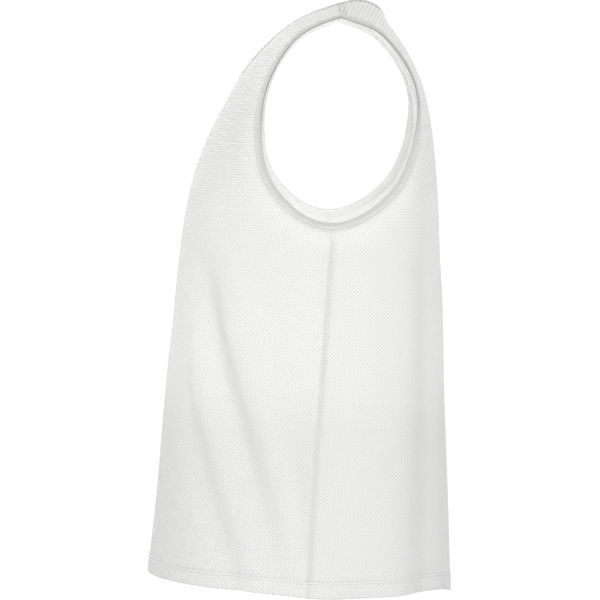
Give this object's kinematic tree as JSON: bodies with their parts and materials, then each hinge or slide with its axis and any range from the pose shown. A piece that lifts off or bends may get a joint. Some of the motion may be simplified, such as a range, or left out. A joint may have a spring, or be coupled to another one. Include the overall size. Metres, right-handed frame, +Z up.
{
  "type": "training bib",
  "caption": "Sleeveless mesh training bib with round neck, deep bound armholes and a straight body with an open hem, filled out as when worn.",
  "frame": {"origin": "halfway between the middles of the two shoulder seams, level with the underside of the straps there, where a wearer's shoulders carry the bib", "axes": "+Z up along the body, from the hem to the shoulders; -Y out of the front; +X towards the wearer's left"},
  "size_m": [0.403, 0.3723, 0.7179],
  "materials": {
    "mesh_cloth": "matte white polyester mesh",
    "binding_tape": "matte white folded mesh strip"
  },
  "bodies": {
    "root": {"front_panel": "mesh_cloth", "back_panel": "mesh_cloth", "neck_binding": "binding_tape", "armhole_binding_left": "binding_tape", "armhole_binding_right": "binding_tape"}
  },
  "joints": []
}
